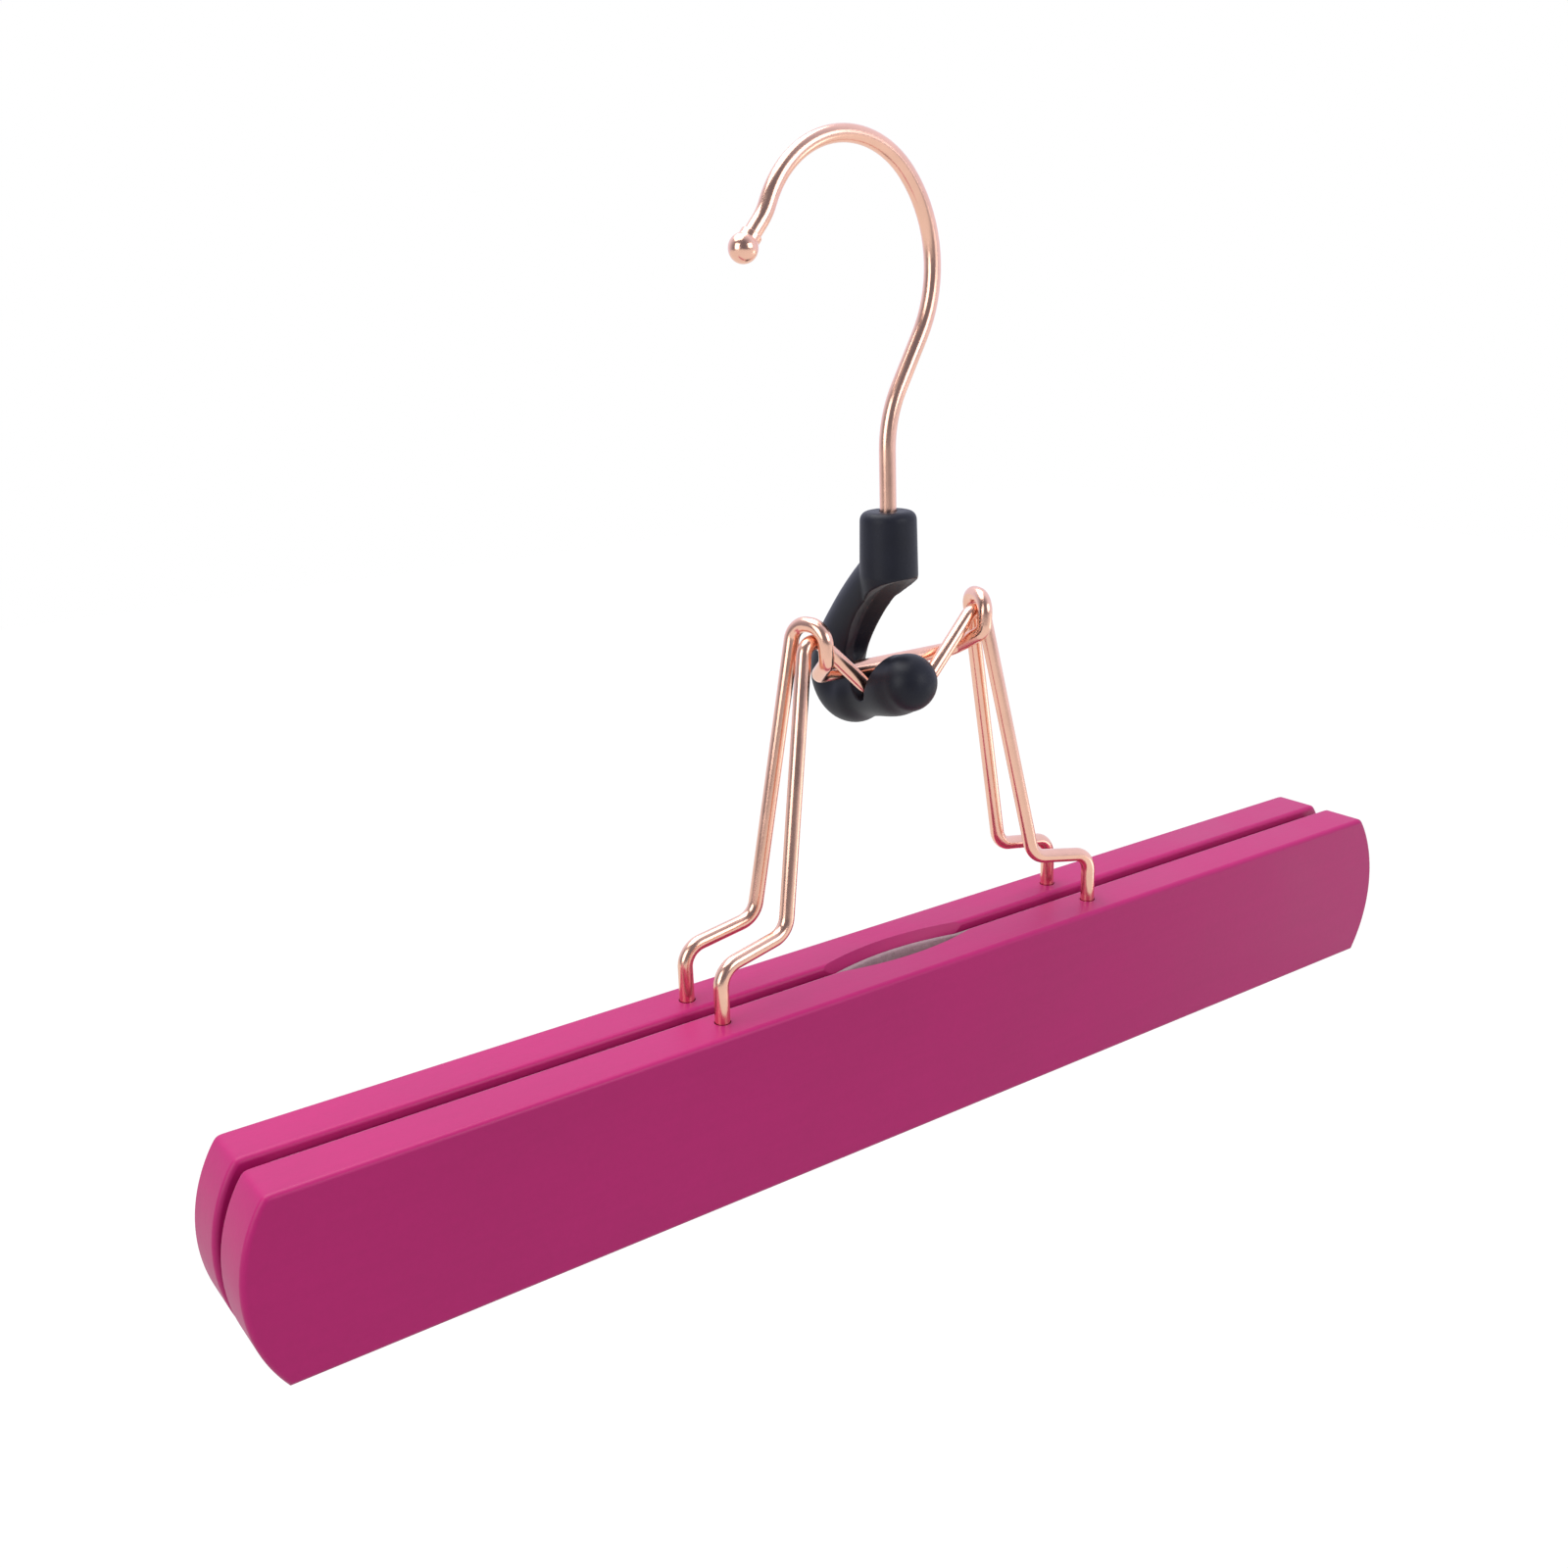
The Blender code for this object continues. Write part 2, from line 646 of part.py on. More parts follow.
def main():
    clear_scene()
    hook_finish = material("hook_rose_gold", WIRE_FINISH)
    ball_finish = material("tip_rose_gold", WIRE_FINISH)
    washer_finish = material("washer_steel", STEEL_FINISH)
    latch_finish = material("latch_plastic", LATCH_FINISH)

    hook_frame = frame_empty("hook_frame", (0, 0, 0))
    latch_frame = frame_empty("latch_frame", (STEM_X, 0, BARREL_TOP), hook_frame)
    jaw_place = (BAIL_X - STEM_X, BAIL_Y, -HINGE_DROP)
    rear_frame = frame_empty("rear_jaw_frame", jaw_place, latch_frame)
    front_frame = frame_empty("front_jaw_axis", (0, 0, 0), rear_frame)

    hook_wire(hook_finish, hook_frame)
    tip_ball(ball_finish, hook_frame)
    stem_washer(washer_finish, hook_frame)
    latch(latch_finish, latch_frame)

    for word, side, path, frame in (
        ("front", -1, front_bail_path(), front_frame),
        ("rear", 1, rear_bail_path(), rear_frame),
    ):
        bail_finish = material(word + "_bail_rose_gold", WIRE_FINISH)
        wood_finish = material(word + "_bar_paint", BAR_FINISH)
        felt_finish = material(word + "_felt_grey", FELT_FINISH)
        wire(word + "_bail", [(p, 1.0) for p in path], BAIL_WIRE, bail_finish, frame)
        bar(word + "_bar", side, wood_finish, frame)
        felt(word + "_felt", side, felt_finish, frame)


main()
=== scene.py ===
"""Dressed model of a wooden clamp hanger, laid out as a Blender add-on and run as a script."""

import math

import bpy
from bpy.props import FloatProperty, FloatVectorProperty, PointerProperty
from mathutils import Matrix, Vector
from mathutils.geometry import interpolate_bezier


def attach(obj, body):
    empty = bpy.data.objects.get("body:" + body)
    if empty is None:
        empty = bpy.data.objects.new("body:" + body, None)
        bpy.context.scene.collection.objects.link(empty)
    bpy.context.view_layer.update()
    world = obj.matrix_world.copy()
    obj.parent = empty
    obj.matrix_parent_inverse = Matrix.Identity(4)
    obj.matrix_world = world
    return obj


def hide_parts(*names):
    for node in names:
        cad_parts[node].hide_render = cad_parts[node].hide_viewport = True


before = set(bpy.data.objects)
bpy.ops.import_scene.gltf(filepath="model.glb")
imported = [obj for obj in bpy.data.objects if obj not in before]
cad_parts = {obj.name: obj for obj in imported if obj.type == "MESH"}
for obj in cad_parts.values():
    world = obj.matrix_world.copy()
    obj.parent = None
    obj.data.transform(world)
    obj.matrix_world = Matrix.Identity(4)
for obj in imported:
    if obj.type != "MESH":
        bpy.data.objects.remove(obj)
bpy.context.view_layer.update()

bl_info = {
    "name": "Wooden clamp hanger",
    "version": (1, 0, 0),
    "blender": (4, 5, 0),
    "location": "View3D > Sidebar > Hanger",
    "description": "Builds the hook, latch, bails, painted bars and felts of a clamp hanger",
    "category": "Add Mesh",
}

# Points of the hanger that do not change with its sizes
STEM_X = 0.00945
BARREL_TOP = -0.0713
HINGE = Vector((0.01495, 0.0045, -0.0989))
BAR_TOP = HINGE.z - 0.0738

# Spacing of the points along straight wire, and how far a drill starts above a hole
WIRE_STEP = 0.002
DRILL_SPARE = 0.002

# Bends of the hook in its own plane
SIDE_RADIUS = 0.0276
SIDE_START = 40.0
SIDE_LEAN = 29.3
TOP_END = 158.0
TIP_RADIUS = 0.012
TIP_TURN = 18.0
TIP_STRAIGHT = 0.0058
STEM_BEND = 0.026

# Upset end of the stem, and the ball on the hook's tip
WASHER_THICKNESS = 0.0008
WASHER_PLAY = 0.0006
HEAD_DIAMETER = 0.0064
HEAD_HEIGHT = 0.002
HEAD_STEP = 0.00005
BALL_SHIFT = 0.0004
BALL_BORE_DEPTH = 0.00035
BALL_BORE_GAP = 0.00004
COLLAR_RADIUS_SHARE = 0.62
COLLAR_REACH_SHARE = 0.56

# Corners of half a bail from the line of the eyes, each with its bend radius
FRONT_HALF = [((0.0085, -0.0009, -0.0110), 0.0030), ((0.0243, 0.0, 0.0048), 0.0030)]
REAR_HALF = [
    ((0.0190, 0.0034, -0.0070), 0.0030),
    ((0.0219, -0.0040, -0.0023), 0.0030),
    ((0.0224, -0.0040, 0.0054), 0.0038),
    ((0.0244, 0.0040, 0.0054), 0.0038),
]
KNEE = (0.0361, 0.0060)
KNEE_BEND = 0.0050
FOOT = (0.0537, 0.0070)
FOOT_RISE = 0.0118
FOOT_SLOPE = 0.0033
FOOT_DEPTH = 0.0160


def below_barrel(corner):
    """Place of a bail's corner, as (y, z) from the top of the latch's barrel."""
    (_, y, z), _ = corner
    return (HINGE.y + y, HINGE.z - BARREL_TOP + z)


# Throat of the latch, as (y, z) from the top of its barrel, and the travel it leaves
CROSSBAR_FRONT = below_barrel(FRONT_HALF[0])
CROSSBAR_REAR = below_barrel(REAR_HALF[0])
SEAT_GAP = 0.0003
LATCH_TRAVEL = 0.006
JAW_ANGLE = 12.0
THROAT_LIP = (0.0077, -0.0022)
THROAT_PULL = (-0.00265, 0.0060)
THROAT_BACK = (0.0024, -0.0042)
THROAT_REACH = 0.012
MOUTH_HEIGHT = 0.0100

# Middle line of the latch, and the shares of its nose where neck and ball are reached
ARM_ROOT = (0.0, -0.0120)
ARM_SWELL = (0.0060, -0.0045)
ARM_PULL = 0.0075
NOSE_PLACE = (-0.0060, -0.0358)
NOSE_RISE = 18.5
NECK_SHARE = 0.25
BALL_SHARE = 0.78

# Foot of the barrel inside the arm, hole for the stem and cup for its washer
ROOT_LENGTH = 0.0088
ROOT_INSET = 0.0004
ROOT_OVERLAP = 0.0002
ROOT_TOP_INSET = 0.00002
ROOF = 0.0088
BORE_GAP = 0.0002
BORE_OVERRUN = 0.0003
CUP_RADIUS = 0.0044
CUP_FLOOR = -0.0125

# Corners and holes of the bars, and the scoop with what its cutter reaches beyond it
BAR_CORNER = 0.0024
HOLE_GAP = 0.0002
HOLE_DEPTH = 0.0165
SCOOP_HALF = 0.022
SCOOP_HEIGHT = 0.008
SCOOP_SIDE_SPARE = 0.0025
SCOOP_FOOT_SPARE = 0.0015
SCOOP_TOP_SPARE = 0.001
SCOOP_MIDDLE = 0.0003
SCOOP_REACH = 0.012

# Felt strips: insets from the bar's outline, half the gap between them, slack in the scoop
FELT_END_INSET = 0.006
FELT_EDGE_INSET = 0.0022
FELT_MIDDLE = 0.00015
FELT_SLACK = 0.00025
FELT_ROUNDING = 0.0003

# Fineness of the meshes: steps of round stretches in degrees, counts, and remeshed grain
HOOK_STEP = 4.0
STEM_STEP = 3.0
SEAT_STEP = 6.0
HEEL_STEP = 5.0
BOW_STEP = 2.5
ARM_POINTS = 28
NOSE_POINTS = 30
END_POINTS = 14
FACE_POINTS = 24
POCKET_POINTS = 14
CORNER_POINTS = 9
SCOOP_GRID = (60, 24)
FELT_GRID = (300, 34)
BARREL_SIDES = 96
HOLE_SIDES = 40
BALL_GRAIN = 0.0001
BALL_SMOOTHING = 6
LATCH_GRAIN = 0.00024
LATCH_SMOOTHING = 8

# Camera as fitted to the photo: its place, then azimuth, elevation and roll in degrees
CAMERA_PLACE = (-0.20287, -0.26336, -0.0223)
CAMERA_ANGLES = (-34.880, 17.739, -1.931)
CAMERA_LENS = 37.10

# Soft lamps, each with its place, target, size, power and tint
MIDDLE = (0.0, 0.0, -0.15)
LAMPS = {
    "top_lamp": ((-0.15, 0.25, 0.75), MIDDLE, (0.9, 0.7), 8.2, (1, 1, 1)),
    "left_lamp": ((-0.85, -0.15, 0.15), MIDDLE, (0.5, 0.6), 2.8, (1, 1, 1)),
    "front_lamp": ((0.35, -0.95, 0.25), MIDDLE, (0.6, 0.5), 3.1, (1, 1, 1)),
    "right_card": ((1.10, -0.58, -0.57), (0.15, 0.0, -0.19), (0.45, 0.35), 1.0, (0.94, 0.95, 1.0)),
}

# Pale floor and white room, whose light is tinted except in the camera's view
FLOOR_HEIGHT = -0.62
FLOOR_WIDTH = 6.0
FLOOR_TONE = 0.5
FLOOR_GLOW = 1.1
FLOOR_GLOW_SHARE = 0.9
ROOM_TINT = (0.93, 0.95, 1.18)
ROOM_LIGHT = 0.55
ROOM_FADE = (-0.55, 0.35, 0.22)


def length(name, description, default):
    return FloatProperty(
        name=name, description=description, default=default, min=0.0, unit="LENGTH", precision=5
    )


def colour(name, description, default):
    return FloatVectorProperty(
        name=name, description=description, default=default, min=0.0, max=1.0, size=3, subtype="COLOR"
    )


class HangerSizes(bpy.types.PropertyGroup):
    """Sizes of the hanger's pieces"""

    hook_wire: length("Hook wire", "Diameter of the hook's wire", 0.0035)
    hook_radius: length("Hook radius", "Radius of the hook's top bend", 0.0200)
    tip_ball: length("Tip ball", "Diameter of the ball on the hook's end", 0.0058)
    bail_wire: length("Bail wire", "Diameter of the bails' wire", 0.0033)
    barrel: length("Barrel", "Diameter of the latch's barrel at its foot", 0.0124)
    barrel_top: length("Barrel top", "Diameter of the barrel at its top", 0.0119)
    barrel_length: length("Barrel length", "Length of the barrel's front", 0.0137)
    barrel_edge: length("Barrel edge", "Rounding of the barrel's top rim", 0.0018)
    arm: length("Arm", "Diameter of the latch's arm below the barrel", 0.0108)
    arm_back: length("Arm back", "How far the arm's middle reaches behind the stem", 0.0186)
    heel: length("Heel", "Diameter of the latch's heel", 0.0123)
    heel_bend: length("Heel bend", "Bend radius of the heel's middle line", 0.0052)
    neck: length("Neck", "Diameter of the neck between heel and ball", 0.0111)
    latch_ball: length("Latch ball", "Diameter of the latch's ball", 0.0132)
    nose: length("Nose", "Diameter of the ball's round end", 0.0125)
    cove_width: length("Cove width", "Width of the hollow in the arm's inner face", 0.0096)
    cove_depth: length("Cove depth", "Depth of the hollow in the arm's inner face", 0.0017)
    bar_length: length("Bar length", "Length of a bar's top edge", 0.3068)
    bar_height: length("Bar height", "Height of a bar", 0.0391)
    bar_thickness: length("Bar thickness", "Thickness of a bar", 0.0122)
    bar_bulge: length("End bow", "How far a bar's ends are bowed", 0.0063)
    bar_edge: length("Bar edge", "Rounding of a bar's edges", 0.0012)
    jaw_gap: length("Jaw gap", "Distance between the two bars", 0.0036)
    scoop_depth: length("Scoop depth", "Depth of the thumb scoop", 0.0036)
    felt_gap: length("Felt gap", "Distance between a felt and its bar", 0.0003)


class HangerColours(bpy.types.PropertyGroup):
    """Colours of the hanger's finishes"""

    paint: colour("Paint", "Colour of the painted bars", (0.445, 0.0105, 0.129))
    metal: colour("Wire", "Colour of the plated wire", (0.90, 0.54, 0.405))
    plastic: colour("Latch", "Colour of the latch's plastic", (0.009, 0.010, 0.016))
    felt: colour("Felt", "Colour of the felt strips", (0.30, 0.185, 0.195))
    steel: colour("Washer", "Colour of the steel washer", (0.55, 0.55, 0.57))


def deselect():
    if bpy.context.object and bpy.context.object.mode != "OBJECT":
        bpy.ops.object.mode_set(mode="OBJECT")
    bpy.ops.object.select_all(action="DESELECT")


def pick(obj):
    """Makes one object the active and only selected one."""
    deselect()
    obj.select_set(True)
    bpy.context.view_layer.objects.active = obj
    return obj


def modifier(obj, kind, **settings):
    """Adds a modifier with its settings and applies it."""
    pick(obj)
    made = obj.modifiers.new(kind.title(), kind)
    for key, value in settings.items():
        setattr(made, key, value)
    bpy.ops.object.modifier_apply(modifier=made.name)
    return obj


def join_shapes(obj, tool, operation):
    """Unites two solids or cuts one from the other, and removes the second."""
    modifier(obj, "BOOLEAN", operation=operation, solver="EXACT", object=tool)
    bpy.data.objects.remove(tool, do_unlink=True)
    return obj


def freeze(obj, name):
    """Names a piece and puts its place into its mesh."""
    pick(obj)
    bpy.ops.object.transform_apply(location=True, rotation=True, scale=True)
    obj.name = name
    obj.data.name = name
    return obj


def smooth(obj, degrees):
    pick(obj)
    bpy.ops.object.shade_smooth_by_angle(angle=math.radians(degrees))
    return obj


def round_edges(obj, width, chosen):
    """Rounds the edges whose two ends pass a test, in edit mode."""
    pick(obj)
    bpy.ops.object.mode_set(mode="EDIT")
    bpy.ops.mesh.select_mode(type="EDGE")
    bpy.ops.mesh.select_all(action="DESELECT")
    bpy.ops.object.mode_set(mode="OBJECT")
    for edge in obj.data.edges:
        edge.select = chosen(*(obj.data.vertices[i].co for i in edge.vertices))
    bpy.ops.object.mode_set(mode="EDIT")
    bpy.ops.mesh.bevel(offset=width, offset_type="OFFSET", segments=6, profile=0.5, affect="EDGES")
    bpy.ops.object.mode_set(mode="OBJECT")
    return obj


def finish_piece(obj, material, slot, body, *nodes):
    """Gives a piece its material and its place in the moving hanger."""
    obj.data.materials.clear()
    obj.data.materials.append(material)
    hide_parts(*nodes)
    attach(obj, body)


def turn(angle, radius, centre):
    a = math.radians(angle)
    return (centre[0] + radius * math.cos(a), centre[1] + radius * math.sin(a))


def arc(centre, radius, start, end, step):
    count = max(2, math.ceil(abs(end - start) / step))
    return [turn(start + (end - start) * i / count, radius, centre) for i in range(count + 1)]


def eased(first, last, share):
    """Value that passes smoothly from one to another as the share grows from 0 to 1."""
    share = min(1.0, max(0.0, share))
    return first + (last - first) * share * share * (3 - 2 * share)


def bezier(start, handle_a, handle_b, end, count):
    corners = [Vector((*point, 0.0)) for point in (start, handle_a, handle_b, end)]
    return [(p.x, p.y) for p in interpolate_bezier(*corners, count)]


def bent_path(corners, step=6.0):
    """Centreline through corner points, each (point, bend radius), with round bends."""
    points = [Vector(corners[0][0])]
    for (before, _), (corner, radius), (after, _) in zip(corners, corners[1:], corners[2:]):
        corner = Vector(corner)
        inward = (Vector(before) - corner).normalized()
        outward = (Vector(after) - corner).normalized()
        angle = inward.angle(outward)
        centre = corner + (inward + outward).normalized() * (radius / math.sin(angle / 2))
        start = corner + inward * (radius / math.tan(angle / 2)) - centre
        axis = start.cross(corner - centre).normalized()
        sweep = math.pi - angle
        count = max(2, math.ceil(math.degrees(sweep) / step))
        points += [centre + Matrix.Rotation(sweep * i / count, 3, axis) @ start for i in range(count + 1)]
    points.append(Vector(corners[-1][0]))
    return points


def even_path(points, spacing):
    """The same line with long straights divided, so that light runs evenly along them."""
    made = [points[0]]
    for before, after in zip(points, points[1:]):
        count = max(1, math.ceil((after - before).length / spacing))
        made += [before.lerp(after, i / count) for i in range(1, count + 1)]
    return made


def wire(points, diameter, shares=None, fineness=14):
    """Round wire along a line; shares widen or narrow it point by point."""
    deselect()
    bpy.ops.curve.primitive_bezier_curve_add(location=(0, 0, 0))
    obj = bpy.context.object
    curve = obj.data
    curve.splines.clear()
    curve.dimensions = "3D"
    curve.bevel_depth = diameter / 2
    curve.bevel_resolution = fineness
    curve.use_fill_caps = True
    spline = curve.splines.new("POLY")
    spline.points.add(len(points) - 1)
    for i, (point, place) in enumerate(zip(spline.points, points)):
        point.co = (*place, 1.0)
        point.radius = shares[i] if shares else 1.0
    spline.use_smooth = True
    pick(obj)
    bpy.ops.object.convert(target="MESH")
    return smooth(bpy.context.object, 40)


def draw_out(obj, reach):
    """Draws a sheet out into a solid, in edit mode."""
    bpy.ops.object.mode_set(mode="EDIT")
    bpy.ops.mesh.select_all(action="SELECT")
    bpy.ops.mesh.extrude_region_move(TRANSFORM_OT_translate={"value": reach})
    bpy.ops.mesh.select_all(action="SELECT")
    bpy.ops.mesh.normals_make_consistent(inside=False)
    bpy.ops.object.mode_set(mode="OBJECT")
    return obj


def slice_solid(outline, low, high, to_point):
    """Solid with a given outline: a filled ring shaped to it and drawn out."""
    deselect()
    bpy.ops.mesh.primitive_circle_add(vertices=len(outline), radius=0.01, fill_type="NGON")
    obj = bpy.context.object
    for vertex, (a, b) in zip(obj.data.vertices, outline):
        vertex.co = to_point(a, b, low)
    return draw_out(obj, Vector(to_point(0, 0, high)) - Vector(to_point(0, 0, low)))


def rod(radius, low, high, x=0.0, y=0.0, sides=64, top=None):
    """Upright round bar, tapered where a top radius is given."""
    deselect()
    bpy.ops.mesh.primitive_cone_add(
        vertices=sides, radius1=radius, radius2=top or radius,
        depth=high - low, location=(x, y, (low + high) / 2),
    )
    return freeze(bpy.context.object, "rod")


def globe(radius, sides=48):
    deselect()
    bpy.ops.mesh.primitive_uv_sphere_add(
        segments=sides, ring_count=sides // 2, radius=radius, location=(0, 0, 0)
    )
    return freeze(bpy.context.object, "globe")


class Link:
    """A value in a material that Python's operators work on."""

    def __init__(self, maker, socket):
        self.maker = maker
        self.socket = socket

    def math(self, operation, first, second):
        return self.maker.node("ShaderNodeMath", {"operation": operation}, {0: first, 1: second})

    def __add__(self, other):
        return self.math("ADD", self, other)

    def __radd__(self, other):
        return self.math("ADD", other, self)

    def __sub__(self, other):
        return self.math("SUBTRACT", self, other)

    def __rsub__(self, other):
        return self.math("SUBTRACT", other, self)

    def __mul__(self, other):
        return self.math("MULTIPLY", self, other)

    def __rmul__(self, other):
        return self.math("MULTIPLY", other, self)


class Nodes:
    """A node tree under construction."""

    def __init__(self, tree):
        self.tree = tree

    def node(self, kind, settings=None, values=None, output=0):
        made = self.tree.nodes.new(kind)
        for key, value in (settings or {}).items():
            setattr(made, key, value)
        for key, value in (values or {}).items():
            self.feed(made.inputs[key], value)
        return Link(self, made.outputs[output])

    def feed(self, socket, value):
        if isinstance(value, Link):
            self.tree.links.new(value.socket, socket)
        else:
            socket.default_value = value

    def ray(self, kind):
        return self.node("ShaderNodeLightPath", output="Is " + kind + " Ray")

    def ranged(self, value, low, high, new_low=0.0, new_high=1.0):
        names = {"Value": value, "From Min": low, "From Max": high, "To Min": new_low, "To Max": new_high}
        return self.node("ShaderNodeMapRange", values=names)

    def mix(self, factor, first, second):
        colours = {"Factor": factor, 6: (*first, 1.0) if isinstance(first, tuple) else first}
        colours[7] = (*second, 1.0) if isinstance(second, tuple) else second
        return self.node("ShaderNodeMix", {"data_type": "RGBA"}, colours, output=2)

    def toward_back(self, where, near, far, dim):
        """Brightness that grows from dim to 1 away from the camera's side."""
        along = {0: where, 1: (0.8, 0.6, 0.0)}
        side = self.node("ShaderNodeVectorMath", {"operation": "DOT_PRODUCT"}, along, output="Value")
        return self.ranged(side, near, far, dim, 1.0)


class Finish(Nodes):
    """A material under construction, with its surface shader."""

    def __init__(self, name, **values):
        self.material = bpy.data.materials.new(name)
        self.material.use_nodes = True
        super().__init__(self.material.node_tree)
        self.surface = self.tree.nodes["Principled BSDF"]
        for key, value in values.items():
            self.set(key.replace("_", " ").title().replace("Ior", "IOR"), value)

    def set(self, name, value):
        self.feed(self.surface.inputs[name], value)

    def place(self, scale=(1, 1, 1)):
        """Object coordinates, stretched."""
        where = self.node("ShaderNodeTexCoord", output="Object")
        return self.node("ShaderNodeMapping", values={"Vector": where, "Scale": scale})

    def noise(self, scale, detail=2.0, roughness=0.5, stretch=(1, 1, 1)):
        values = {"Vector": self.place(stretch), "Scale": scale, "Detail": detail, "Roughness": roughness}
        return self.node("ShaderNodeTexNoise", values=values)

    def bump(self, height, distance, strength):
        self.set("Normal", self.node(
            "ShaderNodeBump", values={"Height": height, "Distance": distance, "Strength": strength}
        ))


def shade(base, factor):
    return tuple(min(1.0, c * factor) for c in base)


def plated_wire(name, base):
    """Polished rose-gold plating with slightly dull patches and a faint unevenness."""
    made = Finish(name, metallic=1.0)
    patch = made.noise(160.0, 3.0)
    fine = made.noise(900.0, 2.0)
    made.set("Base Color", made.mix(made.ranged(patch, 0.35, 0.65), shade(base, 0.96), shade(base, 1.04)))
    made.set("Roughness", made.ranged(patch, 0.3, 0.7, 0.19, 0.25) + fine * 0.02)
    made.bump(fine, 0.00001, 0.15)
    return made.material


def moulded_plastic(name, base):
    """Dark satin plastic with a fine spark-eroded grain."""
    made = Finish(name, specular_ior_level=0.25)
    cloud = made.noise(90.0, 3.0)
    grain = made.noise(2200.0, 3.0, 0.6)
    made.set("Base Color", made.mix(made.ranged(cloud, 0.35, 0.65), shade(base, 0.85), shade(base, 1.25)))
    made.set("Roughness", made.ranged(cloud, 0.3, 0.7, 0.38, 0.46) + grain * 0.06)
    made.bump(grain, 0.00005, 0.6)
    return made.material


def painted_wood(name, base, shift):
    """Satin paint on wood: faint grain lines along the bar and small changes of tone."""
    made = Finish(name, specular_ior_level=0.3)
    grain = made.noise(1.0, 4.0, 0.6, (22.0, 420.0 + shift, 420.0))
    cloud = made.noise(34.0 + shift, 3.0)
    mottle = made.noise(900.0, 2.0)
    tone = made.ranged(grain * 0.25 + cloud * 0.5 + mottle * 0.25, 0.36, 0.64)
    made.set("Base Color", made.mix(tone, shade(base, 0.95), shade(base, 1.05)))
    made.set("Roughness", made.ranged(cloud, 0.3, 0.7, 0.36, 0.44) + mottle * 0.04)
    made.bump(grain * 0.5 + mottle * 0.5, 0.00006, 0.5)
    return made.material


def pressed_felt(name, base):
    """Matted wool felt: crossing fibres, small clumps and a dull surface."""
    made = Finish(name, roughness=0.95, sheen_weight=0.35, sheen_roughness=0.6)
    clump = made.noise(420.0, 5.0, 0.7)
    fibre = made.noise(1.0, 5.0, 0.75, (900.0, 2600.0, 3100.0))
    across = made.noise(1.0, 4.0, 0.7, (3300.0, 1800.0, 800.0))
    lay = clump * 0.4 + fibre * 0.35 + across * 0.25
    made.set("Base Color", made.mix(made.ranged(lay, 0.36, 0.64), shade(base, 0.68), shade(base, 1.3)))
    made.bump(lay, 0.0004, 0.9)
    return made.material


def turned_steel(name, base):
    """Plain steel with turning marks round the stem."""
    made = Finish(name, metallic=1.0)
    marks = made.noise(1.0, 3.0, 0.6, (600.0, 600.0, 9000.0))
    made.set("Base Color", made.mix(marks, shade(base, 0.85), shade(base, 1.1)))
    made.set("Roughness", marks * 0.15 + 0.28)
    made.bump(marks, 0.00003, 0.5)
    return made.material


